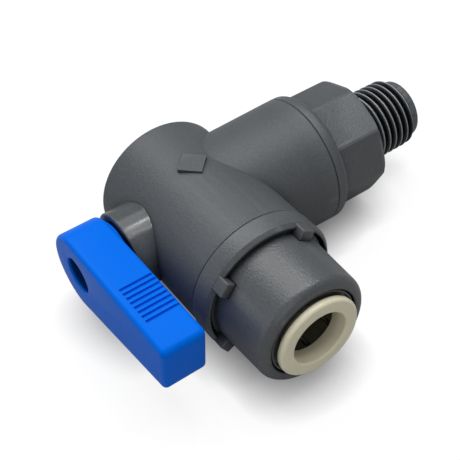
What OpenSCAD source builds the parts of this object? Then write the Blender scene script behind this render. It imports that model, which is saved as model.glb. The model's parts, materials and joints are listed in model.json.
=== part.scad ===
// Moulded angle petcock: taper-threaded inlet, ball turned by a side lever, push-in tube outlet
// The outlet runs along +X, the inlet along +Y and the lever side faces -Y

/* [Valve body] */
// Wall between the ball's chamber and the outside of the barrel
body_wall = 4.9; // [4.4:0.1:6]
// Wall behind the rear seat's cushion, in the closed end
end_wall = 3; // [2:0.1:5]
// Distance from the axes' crossing to the outlet seam
body_front = 18.8; // [18:0.2:24]
// Distance from the axes' crossing to the inlet seam
branch_len = 23.8; // [20:0.2:28]
// How much slimmer than the barrel the branch is at its seam
branch_step = 0.1; // [0:0.1:0.6]
// How much slimmer than its seam the branch is where it leaves the barrel
branch_draft = 0.6; // [0.2:0.1:1]
// Rounding of the closed end's edge
end_round = 1; // [0.4:0.1:2]
// Chamfer that shows as a thin line at each seam
seam_chamfer = 0.2; // [0.1:0.05:0.4]
// Radius of the stem boss
boss_r = 7.8; // [7:0.1:9]
// Distance from the axes' crossing to the end of the stem boss
boss_len = 16.1; // [15:0.1:18]
// Radius of the fillet where the boss leaves the barrel
boss_fillet = 0.6; // [0.4:0.1:2]
// Rounding of the boss's outer edge
boss_edge = 0.25; // [0.1:0.05:0.5]
// Half of the diagonal of the raised pad on top
pad_half = 3.1; // [2:0.1:4]
// Height of the pad above the barrel
pad_rise = 0.35; // [0.2:0.05:0.8]
// Offset of the pad from the axes' crossing, towards the outlet
pad_shift = 0.8; // [0:0.1:2]

/* [Ball and seats] */
// Radius of the ball
ball_r = 7.5; // [7:0.1:7.8]
// Radius of the two passages that meet inside the ball
port_r = 3.4; // [2.8:0.1:3.8]
// Radial gap between the ball and its chamber
chamber_gap = 0.6; // [0.4:0.1:1]
// Gap between the ball and each seat's dished face
seat_gap = 0.12; // [0.1:0.02:0.3]
// Radius of the seats outside
seat_r = 5.7; // [5.2:0.1:5.9]
// How far each seat's back lies behind the ball
seat_back = 0.5; // [0.3:0.1:1]
// Thickness of the rings that press the seats on the ball
cushion_d = 1.4; // [1:0.1:1.8]
// Width of the slot that the stem's tang fits
slot_w = 2.4; // [2:0.1:3]
// Depth of that slot
slot_depth = 2.3; // [1.8:0.1:2.6]

/* [Stem] */
// Radius of the stem's shaft
stem_r = 3.2; // [2.8:0.1:3.6]
// Radial gap between the shaft and the boss
stem_gap = 0.05; // [0.02:0.01:0.1]
// Radius of the stem's head inside the body
head_r = 4.6; // [4.2:0.1:5.2]
// Thickness of the stem's head
head_t = 1.6; // [1.2:0.1:2]
// Thickness of the thrust washer under the head
washer_t = 0.7; // [0.5:0.1:1]
// Thickness of the stem's O-rings
stem_ring_d = 1.1; // [0.8:0.1:1.4]
// Side of the square end that drives the handle
square_w = 4.2; // [3.6:0.1:4.6]
// Angle that the stop key takes up
key_angle = 36; // [20:1:50]
// How far the stop key stands out from the head
key_out = 1.1; // [0.8:0.1:1.4]

/* [Handle] */
// Gap between the boss and the handle's inner face
handle_gap = 0.7; // [0.5:0.1:2]
// Width of the handle
handle_w = 8.3; // [7.5:0.1:10]
// Radius of the handle's round end
hub_r = 7.7; // [7.2:0.1:9]
// Offset of the round end's centre from the stem's axis, backwards
hub_back = 0.9; // [0:0.1:1.2]
// Offset of the round end's centre from the stem's axis, downwards
hub_down = 0.6; // [0:0.1:1]
// Distance from the stem's axis to the tip
handle_len = 29.6; // [26:0.1:36]
// Height of the tip's upper edge above the stem's axis
tip_top = 7.75; // [7:0.05:8.6]
// Depth of the tip
tip_h = 10.8; // [8:0.05:12]
// How far the tip's lower corner is set back
tip_rake = 1; // [0:0.1:3]
// Radius of the tip's corners, seen from the side
tip_corner = 1.3; // [1:0.1:2]
// Rounding of the handle's edges
edge_round = 0.9; // [0.5:0.1:1]
// Radius of the round hole over the screw
hole_r = 3.8; // [3.4:0.1:4.4]
// Depth of that hole
hole_depth = 4.8; // [4:0.1:5]
// Radius of the sleeve that stands out towards the boss
sleeve_r = 6.4; // [5:0.1:7]
// Gap between the sleeve and the boss
sleeve_gap = 0.3; // [0.2:0.05:0.4]
// Distance from the stem's axis to the first grip rib
grip_start = 13.6; // [11:0.1:15]
// Number of grip ribs
grip_ribs = 8; // [5:1:10]
// Distance from one grip rib to the next
grip_pitch = 1.2; // [1:0.05:1.4]
// Depth of the grip's saw-toothed recess
grip_depth = 0.5; // [0.3:0.05:0.8]
// Width left plain beside the grip, at the outer face
grip_margin = 1.6; // [1:0.1:3]

/* [Outlet end] */
// How far the outlet ring stands out from the barrel
ring_step = 0.2; // [0.05:0.05:0.6]
// Width of the ring's flat band
ring_band = 3.6; // [2.5:0.1:5]
// Radius of the rounded edge ahead of the band
ring_round = 0.8; // [0.4:0.1:0.9]
// Gap between the ring and the cap
cap_gap = 1; // [0.6:0.1:1.1]
// How far the flange at the cap's rear stands out from the cap
flange_out = 0.5; // [0.2:0.1:0.6]
// How far the cap's rear end lies inside the ring's radius
cap_step = 1.9; // [1.6:0.1:2.4]
// Width of the locking lugs
lug_w = 2.8; // [2:0.1:4]
// How far the lugs reach past the ring's front edge
lug_out = 1.8; // [1:0.1:2.4]
// Number of locking lugs round the ring
lug_count = 5; // [3:1:5]
// Angle of the first lug from the top, towards the inlet
lug_angle = 34; // [0:1:60]
// Angle from one lug to the next, which leaves one wider space
lug_turn = 68.5; // [50:0.5:72]
// How much slimmer the cap is at its front than at its rear
cap_draft = 0.4; // [0.1:0.1:0.8]
// Distance from the outlet seam to the cap's front face
cap_reach = 16.6; // [16:0.1:18]
// Rounding of the cap's front edge
cap_round = 1.6; // [1:0.1:1.8]
// Wall of the cap's skirt at its front
cap_wall = 1.25; // [1:0.05:1.4]
// Rounding of the inner edge of the cap's mouth
mouth_round = 0.3; // [0.1:0.05:0.4]
// Thickness of the lip round the cap's mouth
lip_t = 2.2; // [2:0.1:2.6]
// Gap between the cap's mouth and the collet's rim
mouth_gap = 0.7; // [0.65:0.05:0.9]

/* [Tube fitting] */
// Radius of the tube that the outlet takes
tube_r = 4.75; // [4:0.05:5]
// Radial gap between the tube and its socket
tube_gap = 0.1; // [0.05:0.01:0.2]
// Distance from the outlet seam back to the tube's stop
tube_sink = 3.8; // [2:0.1:5]
// Distance from the outlet seam to the front of the tube seal's backing ring
seal_reach = 8.3; // [8:0.1:9]
// Thickness of the tube's O-ring
tube_ring_d = 1.75; // [1.4:0.05:1.9]
// Width of the backing ring behind it
spacer_w = 1.1; // [0.8:0.1:1.5]
// Radius of the collet's rim
collet_rim_r = 8; // [7.7:0.05:8.1]
// Thickness of the collet's rim
collet_rim_t = 1.5; // [1.5:0.1:2]
// Rounding of the rim's edges
rim_round = 0.6; // [0.3:0.1:0.7]
// How far the collet's rim stands out of the cap
collet_proud = 1.65; // [1.4:0.05:2.2]
// How far the cartridge's collar lies behind the cap's front face
collar_sink = 0.45; // [0.3:0.05:0.8]
// Wall of that collar
collar_w = 0.4; // [0.3:0.05:0.5]
// How much wider the mouth of the collet's bore is than the bore
lead_in = 0.45; // [0.2:0.05:0.6]
// Length over which that mouth narrows
lead_len = 3; // [1:0.1:3.2]
// Depth of the relief behind the teeth, inside the fingers
finger_relief = 0.3; // [0.2:0.05:0.5]
// Distance that the collet can be pushed in
collet_travel = 1; // [0.6:0.1:1.2]
// Wall of the collet's fingers
finger_wall = 1.45; // [1.2:0.05:1.6]
// Rise of the bulb at the end of each finger
finger_bulb = 0.6; // [0.3:0.05:0.7]
// Length of the fingers' slots
slot_len = 4.8; // [3:0.1:5]
// Number of collet fingers
finger_count = 6; // [4:1:8]
// Width of the slots between the fingers
finger_slot = 1; // [0.8:0.1:1.4]
// Thickness of each steel gripping tooth
tooth_t = 0.3; // [0.2:0.05:0.5]

/* [Inlet end] */
// Width of the inlet ring
inlet_ring_w = 2.2; // [1.4:0.1:3]
// Distance across the flats of the wrench section
flats_w = 21.9; // [21:0.1:22.6]
// How far the wrench section's turned corners stand out past the flats
corner_rise = 0.8; // [0.3:0.1:0.9]
// Distance from the inlet seam to the far face of the wrench section
flats_reach = 12.7; // [11.5:0.1:14]
// Angle of the first flat, from the outlet upwards
flats_angle = 17; // [0:1:44]
// Radius of the taper thread's crests at its small end
thread_tip_r = 6.65; // [6:0.05:7]
// Growth in radius for each millimetre along the taper
thread_taper = 0.03125; // [0.02:0.00125:0.04]
// Length of the threaded stretch
thread_len = 10; // [8:0.1:12]
// How much slimmer than the thread's crests the plain nose is
nose_step = 0.7; // [0.4:0.05:0.9]
// Length of that nose
nose_len = 2.6; // [1.5:0.1:3.5]
// Radius of the passage through the inlet
inlet_bore_r = 3.9; // [3.4:0.1:4.2]

/* [Hidden] */
$fn = 96;

pvc = [0.39, 0.40, 0.42];
blue = [0.02, 0.36, 0.90];
ivory = [0.80, 0.78, 0.68];
dark = [0.20, 0.21, 0.22];
black = [0.05, 0.05, 0.05];
ptfe = [0.93, 0.93, 0.91];
steel = [0.72, 0.73, 0.75];

// Clearances that the fits share, and how far cuts run past a face
press_gap = 0.05;
ring_gap = 0.05;
slide_gap = 0.1;
free_gap = 0.2;
eps = 0.01;
cut = 1;

// Chamber and seats
chamber_r = ball_r + chamber_gap;
seat_out = ball_r + seat_back;
seat_in = seat_r + slide_gap;
seat_bore_r = port_r + free_gap;
seat_pocket_r = seat_r + press_gap;
cushion_mid = seat_out + ring_gap + cushion_d / 2;
cushion_r = seat_r - cushion_d / 2 - ring_gap;
cushion_end = seat_out + cushion_d + 2 * ring_gap;

// Body
body_r = chamber_r + body_wall;
body_back = cushion_end + end_wall;
branch_r = body_r - branch_step;

// Spigots that plug both adaptors into the body, each with one groove for its ring
spigot_r = chamber_r - press_gap;
spigot_ring_d = 1.35;
spigot_groove_d = 1.45;
spigot_groove_w = 2;
spigot_groove_at = 3.5;

// Stem, measured along -Y from the axes' crossing
head_top = ball_r + free_gap;
head_end = head_top + head_t;
pocket_end = head_end + washer_t + 2 * ring_gap;
pocket_r = head_r + free_gap;
shaft_end = boss_len + sleeve_gap;
groove_w = stem_ring_d + 2 * ring_gap;
groove_wall = 0.8;
groove_1 = pocket_end + groove_wall;
groove_2 = groove_1 + groove_w + groove_wall;

// Handle and its screw, measured the same way
handle_in = boss_len + handle_gap;
handle_out = handle_in + handle_w;
hole_floor = handle_out - hole_depth;
web_t = 1;
stem_end = hole_floor - web_t - free_gap;
screw_r = 1.5;
screw_len = 4.5;
screw_head_r = hole_r - 0.7;
screw_head_t = 1.7;
recess_w = 0.7;
recess_depth = 0.9;

// Outlet, measured along +X from the axes' crossing
ring_r = body_r + ring_step;
ring_front = body_front + ring_band + ring_round;
cap_r = ring_r - cap_step;
counterbore_r = cap_r + cap_gap;
cap_tuck = 1.2;
cap_back = ring_front - cap_tuck;
counterbore_x = cap_back - 0.7;
flange_w = 0.6;
cap_front = body_front + cap_reach;
cap_front_r = cap_r - cap_draft;
cap_bore_r = cap_front_r - cap_wall;
lug_bite = 0.35;
lip_back = cap_front - lip_t;
flange_t = 0.9;
socket_end = lip_back - flange_t - 2 * ring_gap;
socket_r = cap_bore_r - press_gap;

// Tube seal and its backing ring
tube_stop = body_front - tube_sink;
tube_bore_r = tube_r + tube_gap;
spacer_x1 = body_front + seal_reach;
spacer_x0 = spacer_x1 - spacer_w;
oring_x = spacer_x0 - ring_gap - tube_ring_d / 2;
oring_chamber_x = oring_x - tube_ring_d / 2 - ring_gap;
tube_squeeze = 0.15;
oring_in_r = tube_bore_r - tube_squeeze;
oring_chamber_r = oring_in_r + tube_ring_d + ring_gap;

// Collet and the cartridge that closes it
finger_r = tube_bore_r + finger_wall;
bulb_r = finger_r + finger_bulb;
finger_gap = 0.15;
cartridge_wall = 1.3;
cartridge_r = socket_r - cartridge_wall;
cam_wall = 0.6;
cam_len = 1.75;
cartridge_back = spacer_x1 + ring_gap;
finger_back = cartridge_back + collet_travel + 1;
bulb_x0 = finger_back + 0.5;
bulb_x1 = finger_back + 1.2;
bulb_end = bulb_x1 + 2;
cam_x = finger_back + 1.6;
mouth_r = collet_rim_r + mouth_gap;
collar_r = collet_rim_r + slide_gap + collar_w;
collet_front = cap_front + collet_proud;
rim_back = collet_front - collet_rim_t;
cartridge_front = rim_back - collet_travel - free_gap;
relief_end = finger_back + slot_len;
tooth_w = 2;
tooth_l = 1.2;
tooth_bite = 0.25;
tooth_x = finger_back + 0.9;

// Inlet, measured along +Y from the axes' crossing
corner_r = flats_w / 2 + corner_rise;
corner_round = 0.8;
flange_round = 1.6;
flats_end = branch_len + flats_reach;
relief_len = 0.9;
relief_step = 0.6;
thread_big_r = thread_tip_r + thread_taper * thread_len;
thread_start = flats_end + relief_len;
thread_end = thread_start + thread_len;
nose_r = thread_tip_r - nose_step;
nose_end = thread_end + nose_len;
nose_edge = 0.5;
bore_flare = 0.85;

// Frame: bottom centre of the closed valve's own box
low_z = -ring_r;
mid_x = (collet_front - max(body_back, branch_r)) / 2;
mid_y = (nose_end - handle_out) / 2;

module placed() { translate([-mid_x, -mid_y, -low_z]) children(); }
module along_x() { rotate([0, 90, 0]) children(); }
module along_y() { rotate([-90, 0, 0]) children(); }
module along_stem() { rotate([90, 0, 0]) children(); }

// Solid of revolution between two heights
module rod(r, from, to) { translate([0, 0, from]) cylinder(r = r, h = to - from); }

// Straight cone between two heights
module cone(r_from, r_to, from, to) {
    translate([0, 0, from]) cylinder(r1 = r_from, r2 = r_to, h = to - from);
}

// Flat ring between two heights
module washer(r_out, r_in, from, to) {
    difference() {
        rod(r_out, from, to);
        rod(r_in, from - cut, to + cut);
    }
}

// Round-section ring about the local axis
module oring(mid_r, d, at) {
    translate([0, 0, at]) rotate_extrude() translate([mid_r, 0]) circle(d = d, $fn = 32);
}

// Quarter of a disc, for rounded edges
module quarter(r) intersection() { circle(r, $fn = 64); square(r); }

// Disc with its upper edge rounded
module rounded_rod(r, from, to, f) {
    translate([0, 0, from]) rotate_extrude() {
        square([r - f, to - from]);
        square([r, to - from - f]);
        translate([r - f, to - from - f]) quarter(f);
    }
}

// Rod with a chamfer at its upper end
module chamfered_rod(r, from, to, c) {
    rod(r, from, to - c);
    cone(r, r - c, to - c, to);
}

// Concave fillet between the boss and the barrel, as a flared foot
module boss_foot() {
    foot_r = boss_r + boss_fillet;
    foot = sqrt(body_r * body_r - foot_r * foot_r);
    translate([0, 0, foot]) rotate_extrude() difference() {
        square([foot_r, boss_fillet]);
        translate([foot_r, boss_fillet]) circle(boss_fillet, $fn = 64);
    }
    rod(foot_r, 0, foot);
}

// Square pad set cornerwise across the top of the barrel
module pad() {
    side = pad_half * sqrt(2);
    translate([pad_shift, 0, 0]) rotate([0, 0, 45]) translate([-side / 2, -side / 2, 0])
        cube([side, side, body_r + pad_rise]);
}

module tee_outside() {
    along_x() {
        mirror([0, 0, 1]) rounded_rod(body_r, 0, body_back, end_round);
        chamfered_rod(body_r, 0, body_front, seam_chamfer);
    }
    along_y() {
        cone(branch_r - branch_draft, branch_r, 0, branch_len - seam_chamfer);
        cone(branch_r, branch_r - seam_chamfer, branch_len - seam_chamfer, branch_len);
    }
    along_stem() {
        rounded_rod(boss_r, 0, boss_len, boss_edge);
        boss_foot();
    }
    pad();
}

module valve_body() color(pvc) placed() difference() {
    tee_outside();
    along_x() {
        rod(seat_pocket_r, -cushion_end, cushion_end + cut);
        rod(chamber_r, cushion_end, body_front + cut);
    }
    along_y() rod(chamber_r, -head_top, branch_len + cut);
    along_stem() {
        rod(pocket_r, 0, pocket_end);
        rod(stem_r + stem_gap, 0, boss_len + cut);
        stop_track();
    }
}

// Arc that the stem's key runs in, a quarter turn long
module stop_track() {
    slack = 3;
    lap = 0.5;
    rotate([0, 0, -key_angle / 2 - slack]) translate([0, 0, head_top])
        rotate_extrude(angle = 90 + key_angle + 2 * slack) translate([head_r - lap, 0])
            square([lap + key_out + free_gap, head_t + ring_gap]);
}

module ball() color(steel) placed() difference() {
    sphere(ball_r);
    along_x() rod(port_r, 0, ball_r + cut);
    along_y() rod(port_r, 0, ball_r + cut);
    sphere(port_r);
    translate([-slot_w / 2, -ball_r - cut, -ball_r]) cube([slot_w, slot_depth + cut, 2 * ball_r]);
}

// Ring with a dished face that the ball rests in
module seat() difference() {
    washer(seat_r, seat_bore_r, seat_in, seat_out);
    sphere(ball_r + seat_gap);
}

module outlet_seat() color(ptfe) placed() along_x() seat();
module rear_seat() color(ptfe) placed() mirror([1, 0, 0]) along_x() seat();
module inlet_seat() color(ptfe) placed() along_y() seat();

// Round ring behind a seat
module cushion() oring(cushion_r, cushion_d, cushion_mid);

module outlet_seat_cushion() color(black) placed() along_x() cushion();
module rear_seat_cushion() color(black) placed() mirror([1, 0, 0]) along_x() cushion();
module inlet_seat_cushion() color(black) placed() along_y() cushion();

// Plain spigot behind a seam, with its groove
module spigot(from, seam) difference() {
    groove_end = seam - spigot_groove_at + spigot_groove_w / 2;
    rod(spigot_r, from, seam);
    washer(spigot_r + cut, chamber_r - spigot_groove_d, groove_end - spigot_groove_w, groove_end);
}

module spigot_ring(seam)
    oring(chamber_r - ring_gap - spigot_ring_d / 2, spigot_ring_d, seam - spigot_groove_at);

// Eight flats with their corners turned down
module octagon_section() intersection() {
    rotate([0, 0, 22.5 - flats_angle]) translate([0, 0, branch_len])
        cylinder(r = flats_w / 2 / cos(22.5), h = flats_reach, $fn = 8);
    rounded_rod(corner_r, branch_len, flats_end, corner_round);
}

// Flange at the inlet seam, rounded towards the wrench section
module inlet_ring() {
    cone(branch_r - seam_chamfer, branch_r, branch_len, branch_len + seam_chamfer);
    rounded_rod(branch_r, branch_len + seam_chamfer,
        branch_len + inlet_ring_w + flange_round, flange_round);
}

module inlet_adaptor() color(pvc) placed() along_y() difference() {
    union() {
        spigot(seat_in + free_gap, branch_len);
        inlet_ring();
        octagon_section();
        rod(thread_big_r - relief_step, flats_end, thread_start);
        cone(thread_big_r, thread_tip_r, thread_start, thread_end);
        chamfered_rod(nose_r, flats_end, nose_end, nose_edge);
    }
    rod(inlet_bore_r, 0, nose_end + cut);
    rod(seat_pocket_r, 0, cushion_end);
    cone(inlet_bore_r, inlet_bore_r + bore_flare, nose_end - bore_flare, nose_end + eps);
}

module inlet_adaptor_oring() color(black) placed() along_y() spigot_ring(branch_len);

module stem() color(steel) placed() along_stem() difference() {
    union() {
        translate([0, 0, head_top]) linear_extrude(height = head_t) head_outline();
        tang();
        rod(stem_r, head_end - eps, shaft_end);
        translate([-square_w / 2, -square_w / 2, shaft_end - eps])
            cube([square_w, square_w, stem_end - shaft_end]);
    }
    for (g = [groove_1, groove_2])
        washer(stem_r + cut, stem_r + stem_gap - stem_ring_d - slide_gap, g, g + groove_w);
    rod(screw_r, stem_end - screw_len, stem_end + cut);
}

// Flat tongue that turns the ball
module tang() {
    tang_w = slot_w - free_gap;
    tang_l = 2 * head_r - 1;
    tang_in = ball_r - slot_depth + free_gap;
    translate([-tang_w / 2, -tang_l / 2, tang_in]) cube([tang_w, tang_l, head_end - cut - tang_in]);
}

// Round head with the key that stops the stem at each end of its turn
module head_outline() {
    far = head_r + key_out + cut;
    half = tan(key_angle / 2) * far;
    circle(head_r);
    intersection() {
        circle(head_r + key_out);
        polygon([[0, 0], [far, -half], [far, half]]);
    }
}

module stem_thrust_washer() color(ptfe) placed() along_stem()
    washer(head_r, stem_r + slide_gap, head_end + ring_gap, head_end + ring_gap + washer_t);

module stem_ring(at) color(black) placed() along_stem()
    oring(stem_r + stem_gap - ring_gap - stem_ring_d / 2, stem_ring_d, at + groove_w / 2);
module stem_inner_oring() stem_ring(groove_1);
module stem_outer_oring() stem_ring(groove_2);

// Short rounded rod, one corner of the lever
module lever_corner(x, z, r) translate([x, -handle_out, z]) rotate([-90, 0, 0]) {
    rod(r - edge_round, 0, handle_w);
    for (y = [edge_round, handle_w - edge_round])
        translate([0, 0, y]) rotate_extrude() translate([r - edge_round, 0]) intersection() {
            circle(edge_round, $fn = 24);
            translate([0, -edge_round]) square([edge_round, 2 * edge_round]);
        }
}

module lever_outside() hull($fn = 64) {
    lever_corner(-hub_back, -hub_down, hub_r);
    lever_corner(handle_len - tip_corner, tip_top - tip_corner, tip_corner);
    lever_corner(handle_len - tip_rake - tip_corner, tip_top - tip_h + tip_corner, tip_corner);
}

module handle() color(blue) placed() difference() {
    union() {
        lever_outside();
        along_stem() rod(sleeve_r, boss_len + sleeve_gap, handle_in + cut);
    }
    along_stem() {
        rod(stem_r + slide_gap, 0, shaft_end + slide_gap);
        square_hole(square_w + 2 * press_gap);
        rod(screw_r + free_gap, 0, handle_out);
        rod(hole_r, hole_floor, handle_out + cut);
    }
    grip_recess();
}

// Square socket for the stem's end
module square_hole(side) translate([-side / 2, -side / 2, 0]) cube([side, side, hole_floor - web_t]);

// Saw-toothed recess across the inner part of the upper edge
module grip_recess() {
    face = grip_pitch * 0.75;
    skin = 0.1;
    translate([grip_start, -handle_out + grip_margin, tip_top - skin]) rotate([-90, 0, 0])
        linear_extrude(height = handle_w) for (i = [0 : grip_ribs - 1])
            translate([i * grip_pitch, 0]) polygon([[0, -cut], [face, -cut], [face, 0], [0, grip_depth]]);
}

module handle_screw() color(steel) placed() along_stem() difference() {
    head_x = hole_floor + ring_gap;
    union() {
        rounded_rod(screw_head_r, head_x, head_x + screw_head_t, 0.5);
        rod(screw_r - press_gap, stem_end - screw_len + 0.5, head_x + eps);
    }
    for (a = [0, 90]) rotate([0, 0, a])
        translate([-screw_head_r / 2, -recess_w / 2, head_x + screw_head_t - recess_depth])
            cube([screw_head_r, recess_w, recess_depth + cut]);
}

// Outlet ring: flat band, rounded front edge and counterbore round the cap
module outlet_ring() difference() {
    union() {
        cone(ring_r - seam_chamfer, ring_r, body_front, body_front + seam_chamfer);
        rounded_rod(ring_r, body_front + seam_chamfer, ring_front, ring_round);
    }
    washer(counterbore_r, socket_r, counterbore_x, ring_front + cut);
}

// Block that grips the cap's edge, at the local +X side
module lug(grow) {
    inner = cap_r - lug_bite - grow;
    back = counterbore_x - grow;
    front = ring_front + lug_out + grow;
    translate([inner, -lug_w / 2 - grow, back]) cube([ring_r - inner, lug_w + 2 * grow, front - back]);
}

// Lugs are set round the ring, counted from the top towards the inlet
module lugs(grow) for (i = [0 : lug_count - 1])
    rotate([0, 0, 180 - lug_angle - i * lug_turn]) lug(grow);

module outlet_adaptor() color(pvc) placed() along_x() difference() {
    union() {
        spigot(cushion_end, body_front);
        outlet_ring();
        intersection() {
            lugs(0);
            rounded_rod(ring_r - slide_gap, 0, ring_front + lug_out, 0.5);
        }
        rod(socket_r, body_front, socket_end);
    }
    rod(seat_bore_r, 0, tube_stop + cut);
    rod(tube_bore_r, tube_stop, socket_end + cut);
    rod(oring_chamber_r, oring_chamber_x, socket_end + cut);
    rod(cartridge_r + press_gap, cartridge_back - ring_gap, socket_end + cut);
}

module outlet_adaptor_oring() color(black) placed() along_x() spigot_ring(body_front);

module tube_oring() color(black) placed()
    along_x() oring(oring_in_r + tube_ring_d / 2, tube_ring_d, oring_x);

module tube_oring_spacer() color(ptfe) placed()
    along_x() washer(oring_chamber_r - ring_gap, tube_bore_r + slide_gap, spacer_x0, spacer_x1);

module outlet_cap() color(pvc) placed() along_x() difference() {
    union() {
        rod(cap_r + flange_out, cap_back, cap_back + flange_w);
        cone(cap_r, cap_front_r, cap_back, cap_front - cap_round);
        rounded_rod(cap_front_r, cap_front - cap_round - eps, cap_front, cap_round);
    }
    rod(cap_bore_r, cap_back - cut, lip_back);
    rod(mouth_r, lip_back - cut, cap_front + cut);
    rotate_extrude() translate([mouth_r, cap_front - mouth_round]) difference() {
        translate([-cut, 0]) square(mouth_round + cut);
        translate([mouth_round, 0]) circle(mouth_round, $fn = 64);
    }
    lugs(slide_gap);
}

module collet_cartridge() color(dark) placed() along_x() difference() {
    union() {
        rod(cartridge_r, cartridge_back, lip_back - ring_gap);
        rod(cap_bore_r - slide_gap, socket_end + ring_gap, lip_back - ring_gap);
        rod(collar_r, lip_back - ring_gap - eps, cap_front - collar_sink);
    }
    rod(collar_r - collar_w, cartridge_front, cap_front);
    rod(finger_r + finger_gap, cartridge_back - cut, cartridge_front + cut);
    rod(cartridge_r - cam_wall, cartridge_back - cut, cam_x + eps);
    cone(cartridge_r - cam_wall, finger_r + finger_gap, cam_x, cam_x + cam_len);
}

// Fingers with their bulbs, and the rounded rim
module collet_outside() rotate_extrude() difference() {
    core = collet_rim_r - rim_round;
    union() {
        polygon([
            [0, finger_back], [finger_r, finger_back], [bulb_r, bulb_x0], [bulb_r, bulb_x1],
            [finger_r, bulb_end], [finger_r, rim_back + eps], [0, rim_back + eps]
        ]);
        translate([0, rim_back]) square([core, collet_rim_t]);
        translate([0, rim_back + rim_round]) square([collet_rim_r, collet_rim_t - 2 * rim_round]);
        for (h = [rim_back, collet_front - 2 * rim_round])
            translate([core, h + rim_round]) circle(rim_round, $fn = 48);
    }
    square([tube_bore_r, collet_front + cut]);
}

// Every finger's own middle line
module each_finger() for (i = [0 : finger_count - 1])
    rotate([0, 0, (i + 0.5) * 360 / finger_count]) children();

module collet() color(ivory) placed() along_x() difference() {
    collet_outside();
    cone(tube_bore_r, tube_bore_r + lead_in, collet_front - lead_len, collet_front + eps);
    rod(tube_bore_r + finger_relief, finger_back - cut, relief_end);
    for (i = [0 : finger_count - 1]) rotate([0, 0, i * 360 / finger_count])
        translate([0, -finger_slot / 2, finger_back - cut])
            cube([bulb_r + cut, finger_slot, slot_len + cut]);
    each_finger() tooth(0.03);
}

// Steel tooth set in the bore of one finger
module tooth(grow)
    translate([tube_bore_r - tooth_bite - grow, -tooth_w / 2 - grow, tooth_x - grow])
        cube([tooth_l + 2 * grow, tooth_w + 2 * grow, tooth_t + 2 * grow]);

module collet_teeth() color(steel) placed() along_x() each_finger() tooth(0);

valve_body();
rear_seat_cushion();
rear_seat();
ball();
outlet_seat();
outlet_seat_cushion();
inlet_seat();
inlet_seat_cushion();
inlet_adaptor();
inlet_adaptor_oring();
stem();
stem_thrust_washer();
stem_inner_oring();
stem_outer_oring();
handle();
handle_screw();
outlet_adaptor();
outlet_adaptor_oring();
tube_oring();
tube_oring_spacer();
outlet_cap();
collet_cartridge();
collet();
collet_teeth();
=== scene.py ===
"""Looks of the moulded angle petcock: grained grey plastic, blue lever, ivory collet."""

import json
import math

import bpy
from mathutils import Matrix, Vector


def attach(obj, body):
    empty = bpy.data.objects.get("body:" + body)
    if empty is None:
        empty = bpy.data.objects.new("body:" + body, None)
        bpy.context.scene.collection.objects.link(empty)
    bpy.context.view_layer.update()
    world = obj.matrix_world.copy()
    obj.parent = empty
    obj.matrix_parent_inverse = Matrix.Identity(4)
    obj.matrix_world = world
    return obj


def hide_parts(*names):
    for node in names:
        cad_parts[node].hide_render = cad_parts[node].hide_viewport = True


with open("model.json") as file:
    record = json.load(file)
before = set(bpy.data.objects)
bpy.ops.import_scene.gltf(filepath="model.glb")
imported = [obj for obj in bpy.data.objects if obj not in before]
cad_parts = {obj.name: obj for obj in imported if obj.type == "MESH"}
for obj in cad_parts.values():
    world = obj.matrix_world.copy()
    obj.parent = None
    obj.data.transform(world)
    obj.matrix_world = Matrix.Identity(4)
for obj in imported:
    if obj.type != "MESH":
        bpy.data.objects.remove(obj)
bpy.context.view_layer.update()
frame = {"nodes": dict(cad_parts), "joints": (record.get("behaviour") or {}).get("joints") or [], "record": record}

MM = 0.001
JOINTS = {joint["name"]: joint for joint in frame["joints"]}
MOUNTS = {mount["name"]: mount for mount in frame["record"]["mounts"]}
TURN_AXIS = Vector(JOINTS["handle_turn"]["pos_m"])
SOCKET = Vector(MOUNTS["tube_socket"]["pos_m"])
CROSSING = Vector((TURN_AXIS.x, SOCKET.y, SOCKET.z))

# Camera, fitted to the photograph: its place from the axes' crossing, in millimetres
CAMERA_PLACE = (114.61, -63.53, 127.19)
CAMERA_AZIMUTH = 58.33
CAMERA_ELEVATION = 45.27
CAMERA_ROLL = -4.62
CAMERA_LENS = 76.78
SENSOR_WIDTH = 36.0

# Lamps: where each stands and points in millimetres from the crossing, its size and strength
LAMPS = {
    "key": ((-122, 50, 424), (0, 0, 0), 420, 1.18),
    "back": ((60, 150, 400), (0, 0, 0), 200, 0.22),
    "side": ((-300, -60, 290), (0, 0, 0), 220, 0.32),
    "fill": ((430, -160, 210), (0, 0, 0), 380, 0.32),
    "front": ((-60, -430, 130), (0, 0, 0), 300, 0.20),
    "streak": ((-50, 118, 378), (0, -12, 0), 30, 0.10),
    "thin_streak": ((95, 119, 350), (0, -12, 0), 12, 0.03),
}
WORLD_LIGHT = 0.2

# Floor: its side in metres, its colour as the object and the camera see it, the glow that makes
# it white, and how far in millimetres and how strongly a painted contact shadow dims that glow
FLOOR_SIZE = 20
FLOOR_BOUNCE = 0.42
FLOOR_SHADE = 0.20
FLOOR_GLOW = 0.86
CONTACT_SHADOW_REACH = 8.0
CONTACT_SHADOW_POWER = 1.3
CONTACT_SHADOW_SAMPLES = 16

# Plastic: sizes of its tone patches and specks, the sharp edges that get a painted highlight, the
# depth of its grain in millimetres, the samples of the painted shade in its crevices, and how light spreads in the
# ivory
DRIFT_SCALE = 45.0
SPECK_SCALE = 2600.0
EDGE_HIGHLIGHT_POINTINESS = (0.52, 0.60)
GRAIN_HEIGHT = 0.08
CREVICE_SHADE_SAMPLES = 8
SPREAD_COLOURS = (1.0, 0.8, 0.5)
SPREAD_REACH = 0.6
GREY_ROUGH = 0.33
GREY_SPECULAR = 0.46
BLUE_GLINT = (0.25, 0.55, 1.0, 1)
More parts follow.
